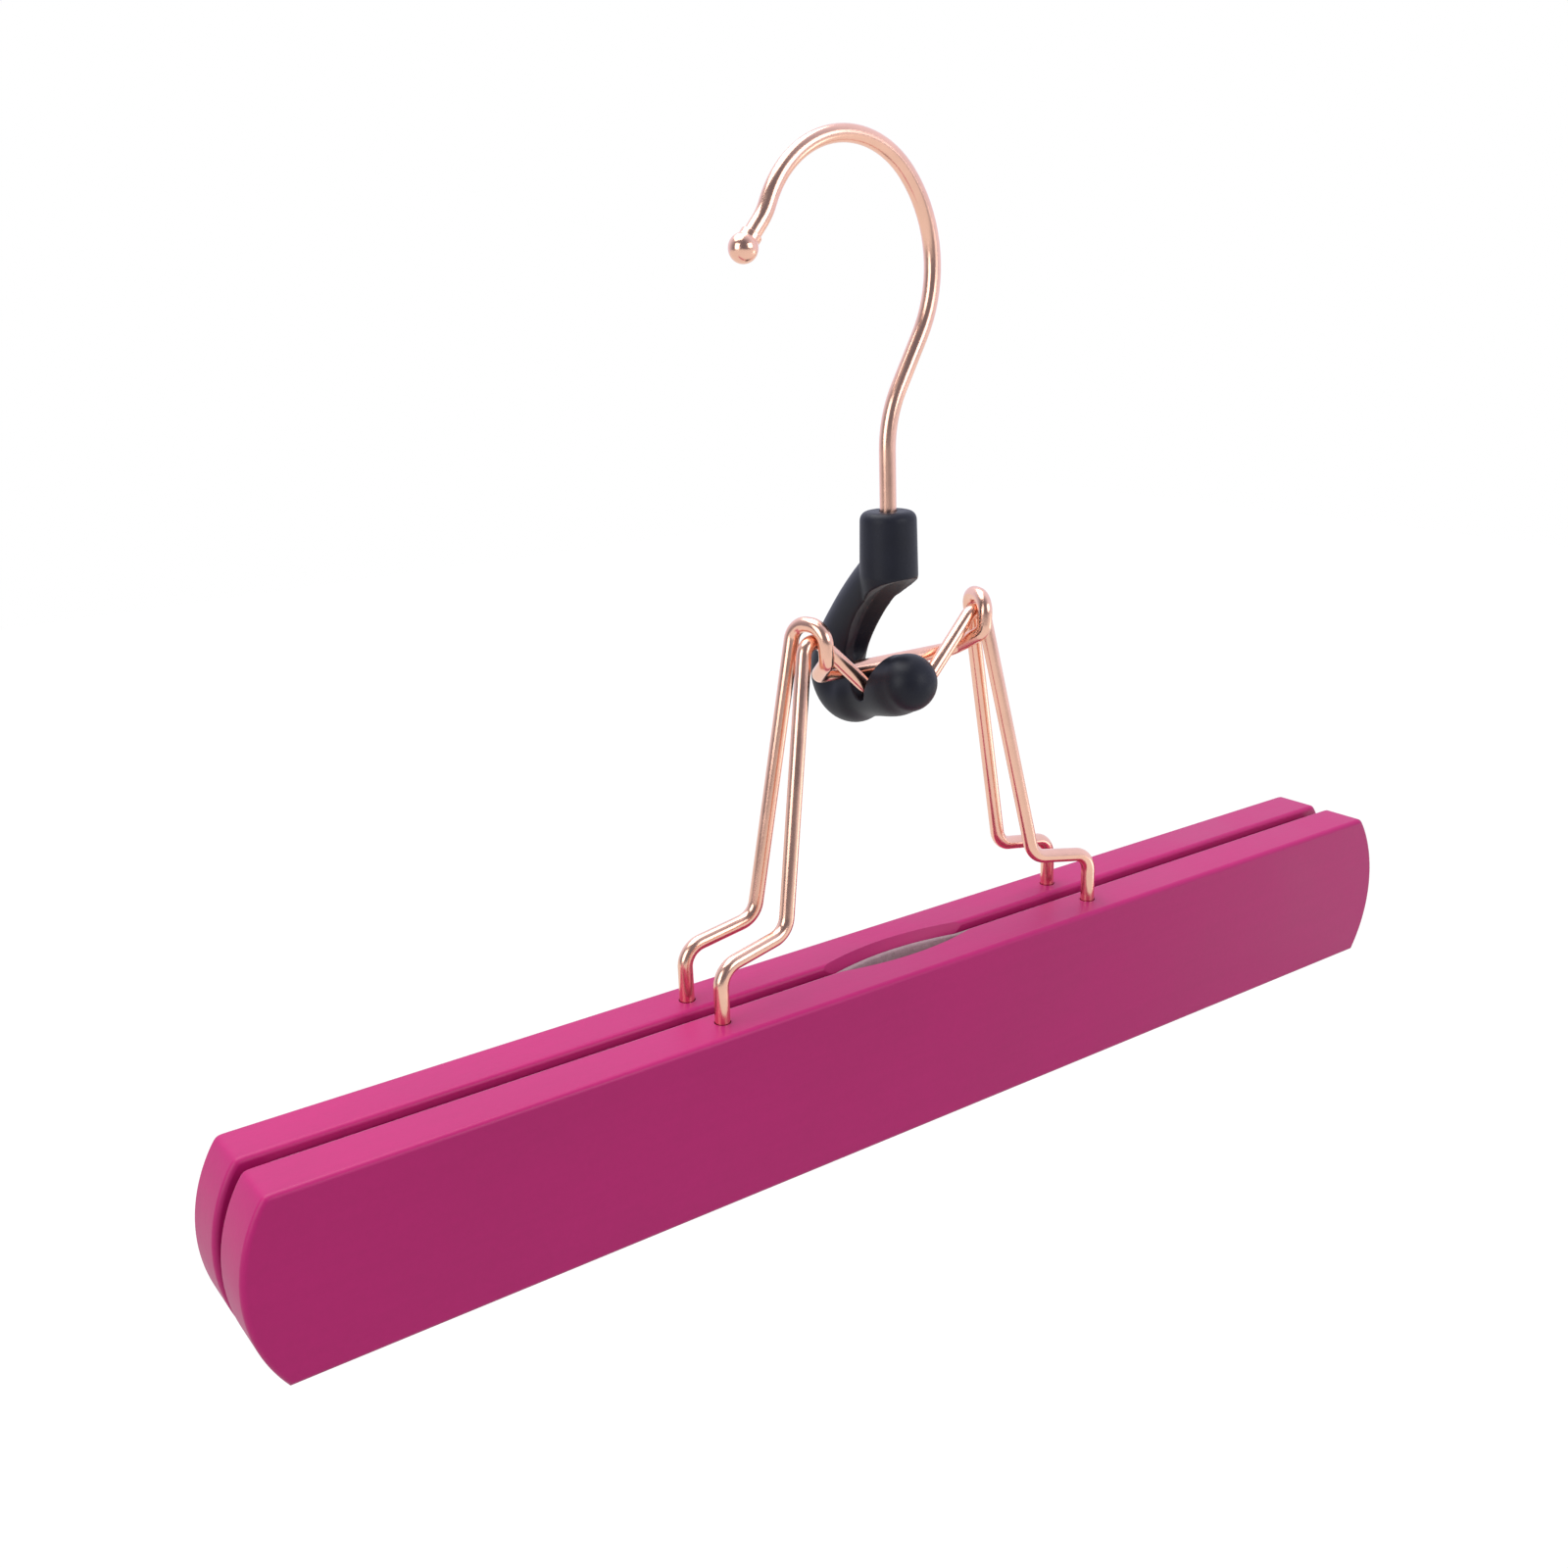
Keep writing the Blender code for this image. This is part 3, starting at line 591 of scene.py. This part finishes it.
class HANGER_OT_hook(bpy.types.Operator):
    """Add the hook, bent from one wire, and the ball on its end"""

    bl_idname = "hanger.hook"
    bl_label = "Hook"

    def execute(self, context):
        sizes = context.scene.hanger_sizes
        metal = tuple(context.scene.hanger_colours.metal)
        line = self.route(sizes)
        shares = [HEAD_DIAMETER / sizes.hook_wire] * 2 + [1.0] * (len(line) - 2)
        hook = freeze(wire(line, sizes.hook_wire, shares), "hook")
        along = (line[-1] - line[-2]).normalized()
        lie = Vector((0, 0, 1)).rotation_difference(-along).to_matrix().to_4x4()
        ball = self.ball(sizes)
        ball.matrix_world = Matrix.Translation(line[-1] + along * BALL_SHIFT) @ lie
        freeze(ball, "hook_tip")
        smooth(ball, 40)
        finish_piece(hook, plated_wire("rose_gold_hook", metal), "hook_rose_gold", "hook", "hook_wire")
        finish_piece(ball, plated_wire("rose_gold_tip", metal), "tip_rose_gold", "hook", "hook_tip_ball")
        return {"FINISHED"}

    def route(self, sizes):
        """Middle line of the wire, from the upset end in the latch to the tip."""
        radius = sizes.hook_radius
        centre = (0.0, sizes.hook_wire / 2 - radius)
        side_centre = turn(SIDE_START, radius - SIDE_RADIUS, centre)
        side = arc(side_centre, SIDE_RADIUS, -SIDE_LEAN, SIDE_START, HOOK_STEP)
        top = arc(centre, radius, SIDE_START, TOP_END, HOOK_STEP)
        tip_centre = turn(TOP_END, radius + TIP_RADIUS, centre)
        tip = arc(tip_centre, TIP_RADIUS, TOP_END + 180, TOP_END + 180 - TIP_TURN, HOOK_STEP)
        end = turn(TOP_END + 90 - TIP_TURN, TIP_STRAIGHT, tip[-1])
        bend_z = side[0][1] - (side[0][0] - STEM_X) / math.tan(math.radians(SIDE_LEAN))
        head_top = BARREL_TOP - ROOF - WASHER_PLAY - WASHER_THICKNESS
        stem = bent_path([
            ((STEM_X, 0, head_top - HEAD_HEIGHT), 0),
            ((STEM_X, 0, bend_z), STEM_BEND),
            ((side[0][0], 0, side[0][1]), 0),
        ], STEM_STEP)
        rest = [Vector((x, 0, z)) for x, z in side[1:] + top[1:] + tip[1:] + [end]]
        head = stem[0] + Vector((0, 0, HEAD_HEIGHT))
        neck = stem[0] + Vector((0, 0, HEAD_HEIGHT + HEAD_STEP))
        return [stem[0], head] + even_path([neck] + stem[1:] + rest, WIRE_STEP)

    def ball(self, sizes):
        """Ball with a short collar and a bore that takes the wire's end."""
        ball = globe(sizes.tip_ball / 2)
        collar = rod(sizes.hook_wire * COLLAR_RADIUS_SHARE, 0.0, sizes.tip_ball * COLLAR_REACH_SHARE)
        bore = rod(sizes.hook_wire / 2 + BALL_BORE_GAP, -BALL_BORE_DEPTH, sizes.tip_ball)
        join_shapes(ball, collar, "UNION")
        modifier(ball, "REMESH", mode="VOXEL", voxel_size=BALL_GRAIN, adaptivity=0.0)
        modifier(ball, "SMOOTH", factor=0.5, iterations=BALL_SMOOTHING)
        return join_shapes(ball, bore, "DIFFERENCE")


class HANGER_OT_washer(bpy.types.Operator):
    """Finish the steel washer inside the latch"""

    bl_idname = "hanger.washer"
    bl_label = "Washer"

    def execute(self, context):
        steel = turned_steel("washer", tuple(context.scene.hanger_colours.steel))
        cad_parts["stem_washer"].material_slots[0].material = steel
        return {"FINISHED"}


def crossbar_seat(sizes):
    """Distance from a crossbar's middle to its seat, and the direction square to the seats' ramp."""
    slope = math.atan2(CROSSBAR_REAR[1] - CROSSBAR_FRONT[1], CROSSBAR_REAR[0] - CROSSBAR_FRONT[0])
    return sizes.bail_wire / 2 + SEAT_GAP, math.degrees(slope) - 90


def inner_face(sizes):
    """Inner face of the latch's arm, from the barrel's front edge to the rear crossbar's rest."""
    seat, down = crossbar_seat(sizes)
    edge = (-sizes.barrel / 2, -sizes.barrel_length)
    top = (CROSSBAR_REAR[0] + seat, CROSSBAR_REAR[1] + LATCH_TRAVEL)
    lip = (edge[0] + THROAT_LIP[0], edge[1] + THROAT_LIP[1])
    pull = (top[0] + THROAT_PULL[0], top[1] + THROAT_PULL[1])
    back = (top[0] + THROAT_BACK[0], top[1] + THROAT_BACK[1])
    rest = turn(down, seat, CROSSBAR_REAR)
    pocket = bezier(top, back, back, rest, POCKET_POINTS)
    return bezier(edge, lip, pull, top, FACE_POINTS) + pocket[1:]


def throat_outline(sizes):
    """Side view of the latch's open throat, as (y, z) below the barrel's top."""
    seat, down = crossbar_seat(sizes)
    drop = HINGE.z - BARREL_TOP - CROSSBAR_FRONT[1]
    opening = math.radians(JAW_ANGLE)
    rise = LATCH_TRAVEL + drop * (1 - math.cos(opening))
    wall = math.degrees(math.atan2(rise, -drop * math.sin(opening)))
    front_seat = arc(CROSSBAR_FRONT, seat, down, wall - 270, SEAT_STEP)
    mouth_z = -sizes.barrel_length - MOUTH_HEIGHT
    mouth = turn(wall, (mouth_z - front_seat[-1][1]) / math.sin(math.radians(wall)), front_seat[-1])
    inner = inner_face(sizes)
    ahead = -2 * sizes.barrel
    return inner + front_seat + [mouth, (ahead, mouth[1]), (ahead, inner[0][1])]


def latch_stations(sizes):
    """Middle line of the latch's J, from inside the barrel to the ball's end, as (y, z, diameter)."""
    rise = math.radians(NOSE_RISE)
    corner_z = NOSE_PLACE[1] - (sizes.arm_back - NOSE_PLACE[0]) * math.tan(rise)
    back = (sizes.arm_back, corner_z + sizes.heel_bend * math.tan(math.pi / 4 + rise / 2))
    swell = (ARM_ROOT[0] + ARM_SWELL[0], ARM_ROOT[1] + ARM_SWELL[1])
    arm = bezier(ARM_ROOT, swell, (sizes.arm_back, back[1] + ARM_PULL), back, ARM_POINTS)
    line = []
    for i, (y, z) in enumerate(arm):
        line.append((y, z, eased(sizes.arm, sizes.heel, 2 * i / (ARM_POINTS - 1) - 1)))
    heel_centre = (sizes.arm_back - sizes.heel_bend, back[1])
    heel = arc(heel_centre, sizes.heel_bend, 0, -90 - math.degrees(rise), HEEL_STEP)
    line += [(y, z, sizes.heel) for y, z in heel[1:]]
    start = Vector(heel[-1])
    for i in range(1, NOSE_POINTS + 1):
        share = i / NOSE_POINTS
        width = eased(sizes.heel, sizes.neck, share / NECK_SHARE)
        width = eased(width, sizes.latch_ball, (share - NECK_SHARE) / (BALL_SHARE - NECK_SHARE))
        width = eased(width, sizes.nose, (share - BALL_SHARE) / (1 - BALL_SHARE))
        line.append((*start.lerp(Vector(NOSE_PLACE), share), width))
    for i in range(1, END_POINTS):
        ahead, radius = turn(90 - 90 * i / END_POINTS, sizes.nose / 2, (0.0, 0.0))
        line.append((*turn(180 - math.degrees(rise), ahead, NOSE_PLACE), 2 * radius))
    return line


class HANGER_OT_latch(bpy.types.Operator):
    """Add the moulded latch: barrel, curved arm, heel and ball"""

    bl_idname = "hanger.latch"
    bl_label = "Latch"

    def execute(self, context):
        sizes = context.scene.hanger_sizes
        body = self.tube(latch_stations(sizes))
        join_shapes(body, self.root(sizes), "UNION")
        barrel = rod(
            sizes.barrel / 2, -sizes.barrel_length, 0.0, sides=BARREL_SIDES, top=sizes.barrel_top / 2
        )
        round_edges(barrel, sizes.barrel_edge, lambda a, b: min(a.z, b.z) > -1e-6)
        join_shapes(body, barrel, "UNION")
        outline = throat_outline(sizes)
        throat = slice_solid(outline, -THROAT_REACH, THROAT_REACH, lambda a, b, c: (c, a, b))
        join_shapes(body, throat, "DIFFERENCE")
        join_shapes(body, self.cove(sizes), "DIFFERENCE")
        modifier(body, "REMESH", mode="VOXEL", voxel_size=LATCH_GRAIN, adaptivity=0.0)
        modifier(body, "SMOOTH", factor=0.5, iterations=LATCH_SMOOTHING)
        bore = rod(sizes.hook_wire / 2 + BORE_GAP, -ROOF - BORE_OVERRUN, 2 * DRILL_SPARE)
        join_shapes(body, bore, "DIFFERENCE")
        join_shapes(body, rod(CUP_RADIUS, CUP_FLOOR, -ROOF), "DIFFERENCE")
        body.location = (STEM_X, 0.0, BARREL_TOP)
        freeze(body, "latch_moulding")
        smooth(body, 45)
        plastic = moulded_plastic("latch_plastic", tuple(context.scene.hanger_colours.plastic))
        finish_piece(body, plastic, "latch_plastic", "latch", "latch")
        return {"FINISHED"}

    def root(self, sizes):
        """Cone that runs from the barrel's foot into the arm."""
        low = -sizes.barrel_length - ROOT_LENGTH
        high = ROOT_OVERLAP - sizes.barrel_length
        top = sizes.barrel / 2 - ROOT_TOP_INSET
        return rod(sizes.arm / 2 - ROOT_INSET, low, high, sides=BARREL_SIDES, top=top)

    def tube(self, line, flatness=1.0, fineness=30):
        """Tube through stations in the plane x = 0, widened along x."""
        diameter = max(d for _, _, d in line)
        shares = [d / diameter for _, _, d in line]
        made = wire([(0.0, y, z) for y, z, _ in line], diameter, shares, fineness)
        made.scale.x = flatness
        return freeze(made, "tube")

    def cove(self, sizes):
        """Shallow hollow with slanting sides along the arm's inner face, fading out at both ends."""
        face = inner_face(sizes)
        turns = [math.sin(math.pi * i / (len(face) - 1)) for i in range(len(face))]
        line = [(y, z, 2 * sizes.cove_depth * math.sqrt(t)) for (y, z), t in zip(face, turns)][1:-1]
        return self.tube(line, sizes.cove_width / 2 / sizes.cove_depth, 0)


def leg(side):
    """Upper knee, lower knee and foot of a bail, from the line of the eyes."""
    foot_z = BAR_TOP - HINGE.z + FOOT_RISE
    return [
        ((KNEE[0], side * KNEE[1], foot_z + FOOT_SLOPE), KNEE_BEND),
        ((FOOT[0], side * FOOT[1], foot_z), KNEE_BEND),
        ((FOOT[0], side * FOOT[1], BAR_TOP - HINGE.z - FOOT_DEPTH), 0),
    ]


class HANGER_OT_bails(bpy.types.Operator):
    """Add the two wire bails, the rear one coiled round the front one at both corners"""

    bl_idname = "hanger.bails"
    bl_label = "Bails"

    def execute(self, context):
        sizes = context.scene.hanger_sizes
        metal = tuple(context.scene.hanger_colours.metal)
        for word, side, half in (("front", -1, FRONT_HALF), ("rear", 1, REAR_HALF)):
            corners = half + leg(side)
            mirror = [((-p[0], p[1], p[2]), r) for p, r in reversed(corners)]
            line = [p + HINGE for p in even_path(bent_path(mirror + corners), WIRE_STEP)]
            bail = freeze(wire(line, sizes.bail_wire), word + "_bail_wire")
            plating = plated_wire("rose_gold_" + word, metal)
            finish_piece(bail, plating, word + "_bail_rose_gold", word + "_jaw", word + "_bail")
        return {"FINISHED"}


def recess(sizes, x, z):
    """Depth of the thumb scoop below a bar's inner face at a place on the hanger."""
    return sizes.scoop_depth * (1 - ((x - HINGE.x) / SCOOP_HALF) ** 2 - (BAR_TOP - z) / SCOOP_HEIGHT)


def bar_outline(sizes):
    """Front view of a bar, as (x, z): level edges, bowed ends and rounded top corners."""
    half, height, bulge = sizes.bar_length / 2, sizes.bar_height, sizes.bar_bulge
    radius = (height ** 2 / 4 + bulge ** 2) / (2 * bulge)
    spread = math.degrees(math.asin(height / 2 / radius))
    trim = math.degrees(BAR_CORNER / radius)
    bow = arc((half + bulge - radius, BAR_TOP - height / 2), radius, -spread, spread - trim, BOW_STEP)
    top = (half, BAR_TOP)
    right = bow + bezier(bow[-1], top, top, (half - BAR_CORNER, BAR_TOP), CORNER_POINTS)[1:]
    return [(x + HINGE.x, z) for x, z in right] + [(HINGE.x - x, z) for x, z in reversed(right)]


def shaped_sheet(columns, rows, x_low, x_high, z_low, z_high, depth):
    """Grid standing in the plane of the bars, with each point moved in depth."""
    deselect()
    bpy.ops.mesh.primitive_grid_add(x_subdivisions=columns, y_subdivisions=rows, size=2.0)
    obj = bpy.context.object
    for vertex in obj.data.vertices:
        x = x_low + (x_high - x_low) * (vertex.co.x + 1) / 2
        z = z_low + (z_high - z_low) * (vertex.co.y + 1) / 2
        vertex.co = (x, depth(x, z), z)
    return obj


class HANGER_OT_bars(bpy.types.Operator):
    """Add the two painted bars with their holes and thumb scoop"""

    bl_idname = "hanger.bars"
    bl_label = "Bars"

    def execute(self, context):
        sizes = context.scene.hanger_sizes
        paint = tuple(context.scene.hanger_colours.paint)
        for word, side in (("front", -1), ("rear", 1)):
            inner = HINGE.y + side * sizes.jaw_gap / 2
            outer = inner + side * sizes.bar_thickness
            wood = slice_solid(bar_outline(sizes), inner, outer, lambda a, b, c: (a, c, b))
            round_edges(wood, sizes.bar_edge, lambda a, b: abs(a.y - b.y) < 1e-6)
            for x in (-FOOT[0], FOOT[0]):
                place = (HINGE.x + x, HINGE.y + side * FOOT[1])
                radius = sizes.bail_wire / 2 + HOLE_GAP
                hole = rod(radius, BAR_TOP - HOLE_DEPTH, BAR_TOP + DRILL_SPARE, *place, sides=HOLE_SIDES)
                join_shapes(wood, hole, "DIFFERENCE")
            join_shapes(wood, self.scoop(sizes, side), "DIFFERENCE")
            freeze(wood, word + "_bar_wood")
            smooth(wood, 40)
            modifier(wood, "WEIGHTED_NORMAL", keep_sharp=True)
            finish = painted_wood("paint_" + word, paint, 7.0 * side)
            finish_piece(wood, finish, word + "_bar_paint", word + "_jaw", word + "_bar")
        return {"FINISHED"}

    def scoop(self, sizes, side):
        """Cutter whose curved face is the scoop."""
        face = sizes.jaw_gap / 2

        def depth(x, z):
            return HINGE.y + side * max(SCOOP_MIDDLE, face + recess(sizes, x, z))

        half = SCOOP_HALF + SCOOP_SIDE_SPARE
        low = BAR_TOP - SCOOP_HEIGHT - SCOOP_FOOT_SPARE
        high = BAR_TOP + SCOOP_TOP_SPARE
        tool = shaped_sheet(*SCOOP_GRID, HINGE.x - half, HINGE.x + half, low, high, depth)
        return draw_out(tool, (0, -side * SCOOP_REACH, 0))


class HANGER_OT_felts(bpy.types.Operator):
    """Add the felt strips on the inner faces of the bars"""

    bl_idname = "hanger.felts"
    bl_label = "Felts"

    def execute(self, context):
        sizes = context.scene.hanger_sizes
        base = tuple(context.scene.hanger_colours.felt)
        half = sizes.bar_length / 2 - FELT_END_INSET
        low = BAR_TOP - sizes.bar_height + FELT_EDGE_INSET
        high = BAR_TOP - FELT_EDGE_INSET
        thickness = sizes.jaw_gap / 2 - sizes.felt_gap - FELT_MIDDLE
        for word, side in (("front", -1), ("rear", 1)):

            def depth(x, z):
                return HINGE.y + side * (FELT_MIDDLE + max(0.0, recess(sizes, x, z) - FELT_SLACK))

            felt = shaped_sheet(*FELT_GRID, HINGE.x - half, HINGE.x + half, low, high, depth)
            draw_out(felt, (0, side * thickness, 0))
            modifier(
                felt, "BEVEL", width=FELT_ROUNDING, segments=2,
                limit_method="ANGLE", angle_limit=math.radians(60),
            )
            freeze(felt, word + "_felt_strip")
            smooth(felt, 50)
            finish = pressed_felt("felt_" + word, base)
            finish_piece(felt, finish, word + "_felt_grey", word + "_jaw", word + "_felt")
        return {"FINISHED"}


def lamp(name, place, target, size, power, tint):
    deselect()
    bpy.ops.object.light_add(type="AREA", location=place)
    obj = bpy.context.object
    obj.name = name
    obj.rotation_euler = (Vector(target) - Vector(place)).to_track_quat("-Z", "Y").to_euler()
    obj.data.shape = "RECTANGLE"
    obj.data.size, obj.data.size_y = size
    obj.data.energy = power
    obj.data.color = tint
    return obj


class HANGER_OT_stage(bpy.types.Operator):
    """Add the camera, the soft lamps, the pale floor and the white surroundings"""

    bl_idname = "hanger.stage"
    bl_label = "Stage"

    def execute(self, context):
        self.camera(context)
        for name, values in LAMPS.items():
            lamp(name, *values)
        self.floor()
        self.surroundings(context)
        context.scene.view_settings.view_transform = "Standard"
        return {"FINISHED"}

    def camera(self, context):
        azimuth, elevation, roll = (math.radians(a) for a in CAMERA_ANGLES)
        back = Vector((
            math.sin(azimuth) * math.cos(elevation),
            -math.cos(azimuth) * math.cos(elevation),
            math.sin(elevation),
        ))
        level = Vector((math.cos(azimuth), math.sin(azimuth), 0.0))
        upright = back.cross(level)
        right = math.cos(roll) * level + math.sin(roll) * upright
        up = back.cross(right)
        pose = Matrix((right, up, back)).transposed().to_euler()
        deselect()
        bpy.ops.object.camera_add(location=CAMERA_PLACE, rotation=pose)
        camera = bpy.context.object
        camera.name = "camera"
        camera.data.sensor_width = 36.0
        camera.data.lens = CAMERA_LENS
        camera.data.clip_start = 0.01
        context.scene.camera = camera

    def floor(self):
        """Pale floor, shown almost white in the picture and in reflections."""
        deselect()
        bpy.ops.mesh.primitive_plane_add(size=FLOOR_WIDTH, location=(0, 0, FLOOR_HEIGHT))
        floor = freeze(bpy.context.object, "floor")
        paint = Finish("pale_floor", roughness=0.8)
        paint.set("Base Color", (FLOOR_TONE, FLOOR_TONE, FLOOR_TONE, 1.0))
        floor.data.materials.append(paint.material)
        mirrored = paint.ray("Glossy") + paint.ray("Transmission")
        glow = paint.ray("Camera") * FLOOR_GLOW + mirrored
        white = paint.node("ShaderNodeEmission", values={"Color": (1, 1, 1, 1), "Strength": glow})
        shown = (paint.ray("Camera") + mirrored) * FLOOR_GLOW_SHARE
        surface = Link(paint, paint.surface.outputs[0])
        mixed = paint.node("ShaderNodeMixShader", values={0: shown, 1: surface, 2: white})
        paint.tree.links.new(mixed.socket, paint.tree.nodes["Material Output"].inputs["Surface"])

    def surroundings(self, context):
        """White room; in reflections it darkens toward the camera's side."""
        world = bpy.data.worlds.new("surroundings")
        context.scene.world = world
        world.use_nodes = True
        world.cycles.sampling_method = "NONE"
        room = Nodes(world.node_tree)
        where = room.node("ShaderNodeTexCoord", output="Generated")
        mirrored = room.ray("Glossy") + room.ray("Transmission")
        camera = room.ray("Camera")
        strength = camera + mirrored * room.toward_back(where, *ROOM_FADE)
        plain = room.tree.nodes["Background"]
        room.feed(plain.inputs["Color"], room.mix(camera, ROOM_TINT, (1.0, 1.0, 1.0)))
        room.feed(plain.inputs["Strength"], strength + (1.0 - camera - mirrored) * ROOM_LIGHT)


class HANGER_PT_panel(bpy.types.Panel):
    """Sizes, colours and pieces of the hanger"""

    bl_idname = "HANGER_PT_panel"
    bl_label = "Clamp hanger"
    bl_space_type = "VIEW_3D"
    bl_region_type = "UI"
    bl_category = "Hanger"

    def draw(self, context):
        for group in (context.scene.hanger_sizes, context.scene.hanger_colours):
            box = self.layout.box()
            for name in group.__annotations__:
                box.prop(group, name)
        for operator in OPERATORS:
            self.layout.operator(operator.bl_idname)


OPERATORS = (
    HANGER_OT_hook,
    HANGER_OT_washer,
    HANGER_OT_latch,
    HANGER_OT_bails,
    HANGER_OT_bars,
    HANGER_OT_felts,
    HANGER_OT_stage,
)
CLASSES = (HangerSizes, HangerColours, *OPERATORS, HANGER_PT_panel)


def register():
    for item in CLASSES:
        bpy.utils.register_class(item)
    bpy.types.Scene.hanger_sizes = PointerProperty(type=HangerSizes)
    bpy.types.Scene.hanger_colours = PointerProperty(type=HangerColours)


def unregister():
    del bpy.types.Scene.hanger_sizes
    del bpy.types.Scene.hanger_colours
    for item in reversed(CLASSES):
        bpy.utils.unregister_class(item)


def main():
    register()
    bpy.ops.hanger.stage()
    bpy.ops.hanger.hook()
    bpy.ops.hanger.washer()
    bpy.ops.hanger.latch()
    bpy.ops.hanger.bails()
    bpy.ops.hanger.bars()
    bpy.ops.hanger.felts()


if __name__ == "__main__":
    main()
